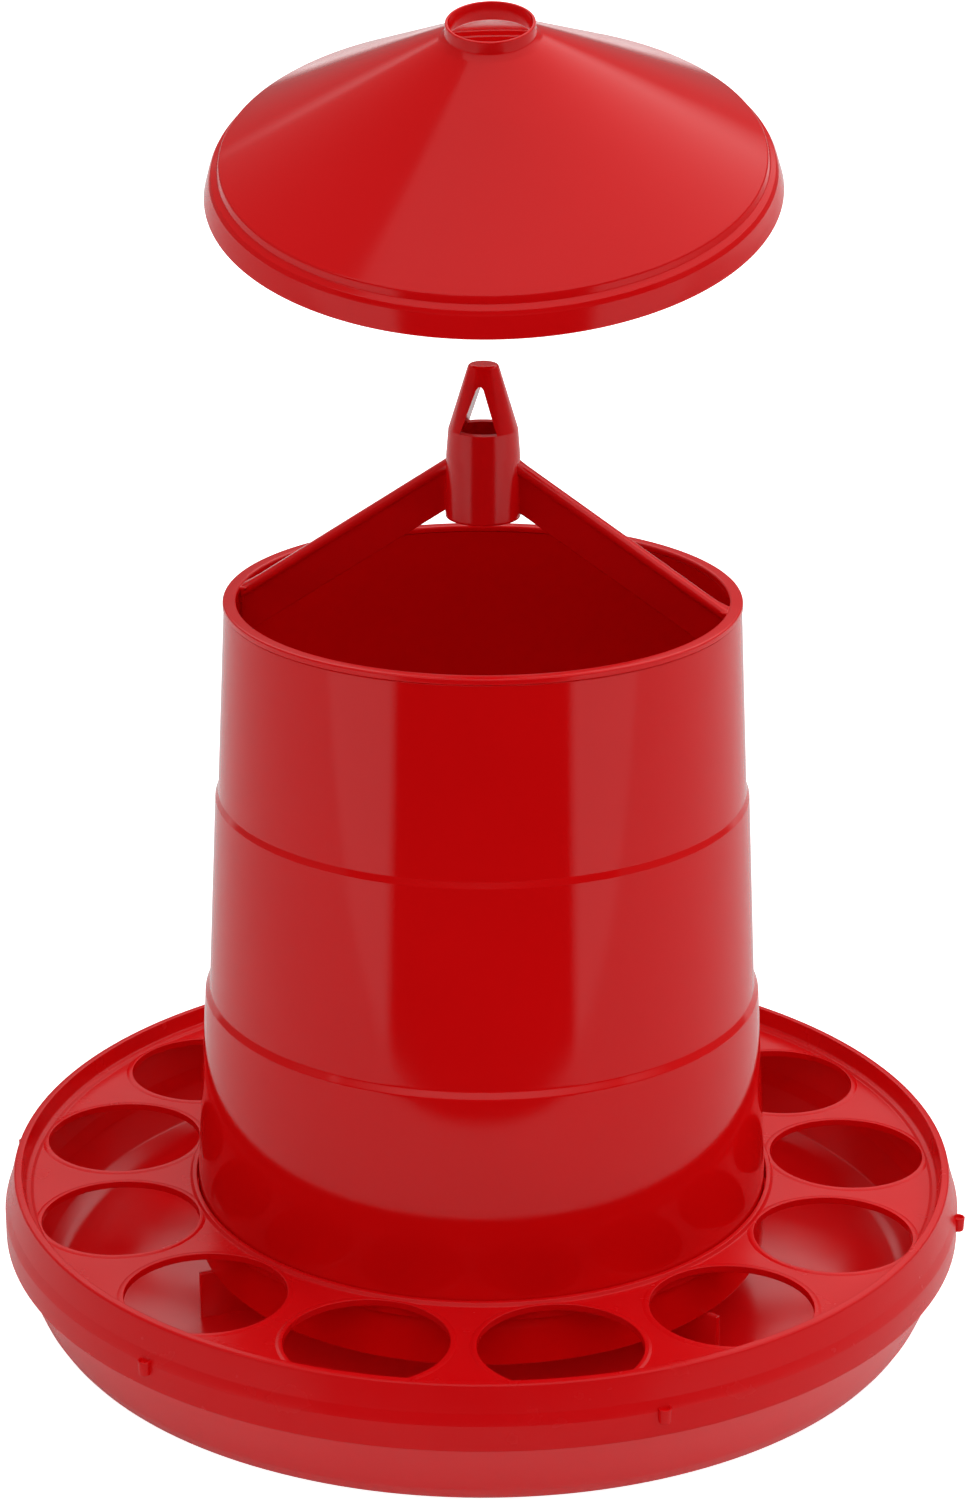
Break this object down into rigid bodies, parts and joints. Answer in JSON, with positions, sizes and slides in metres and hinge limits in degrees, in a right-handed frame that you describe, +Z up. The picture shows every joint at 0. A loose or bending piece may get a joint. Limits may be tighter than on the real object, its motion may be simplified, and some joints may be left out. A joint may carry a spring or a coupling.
{
  "type": "hanging poultry feeder",
  "caption": "Hanging tube feeder for poultry: round bowl, feed-saver ring with round feeding holes, tapered tube hopper, hanger yoke with loop, and a lift-off conical lid.",
  "frame": {"origin": "centre of the bowl's flat base", "axes": "+Z up along the hopper's axis; X along the two arms of the yoke; the lid is tipped towards -Y and a little to +X"},
  "size_m": [0.3838, 0.3778, 0.5079],
  "materials": {
    "red_plastic": "glossy injection-moulded red polypropylene"
  },
  "bodies": {
    "bowl": {"feed_bowl": "red_plastic"},
    "ring": {"feed_saver_ring": "red_plastic"},
    "hopper": {"hopper_tube": "red_plastic", "hanger_yoke": "red_plastic"},
    "lid": {"lid_cover": "red_plastic"}
  },
  "joints": [
    {"name": "hopper_twist", "type": "hinge", "parent": "bowl", "child": "hopper", "pos_m": [0, 0, 0.022], "axis": [0, 0, 1], "range_deg": [-24, 0]},
    {"name": "ring_twist", "type": "hinge", "parent": "bowl", "child": "ring", "pos_m": [0, 0, 0.046], "axis": [0, 0, 1], "range_deg": [-10, 0]},
    {"name": "lid_lift", "type": "hinge", "parent": "hopper", "child": "lid", "pos_m": [0, -0.489, 0.3646], "axis": [0.9946, 0.1016, -0.0219], "range_deg": [-18.7, 0]}
  ]
}
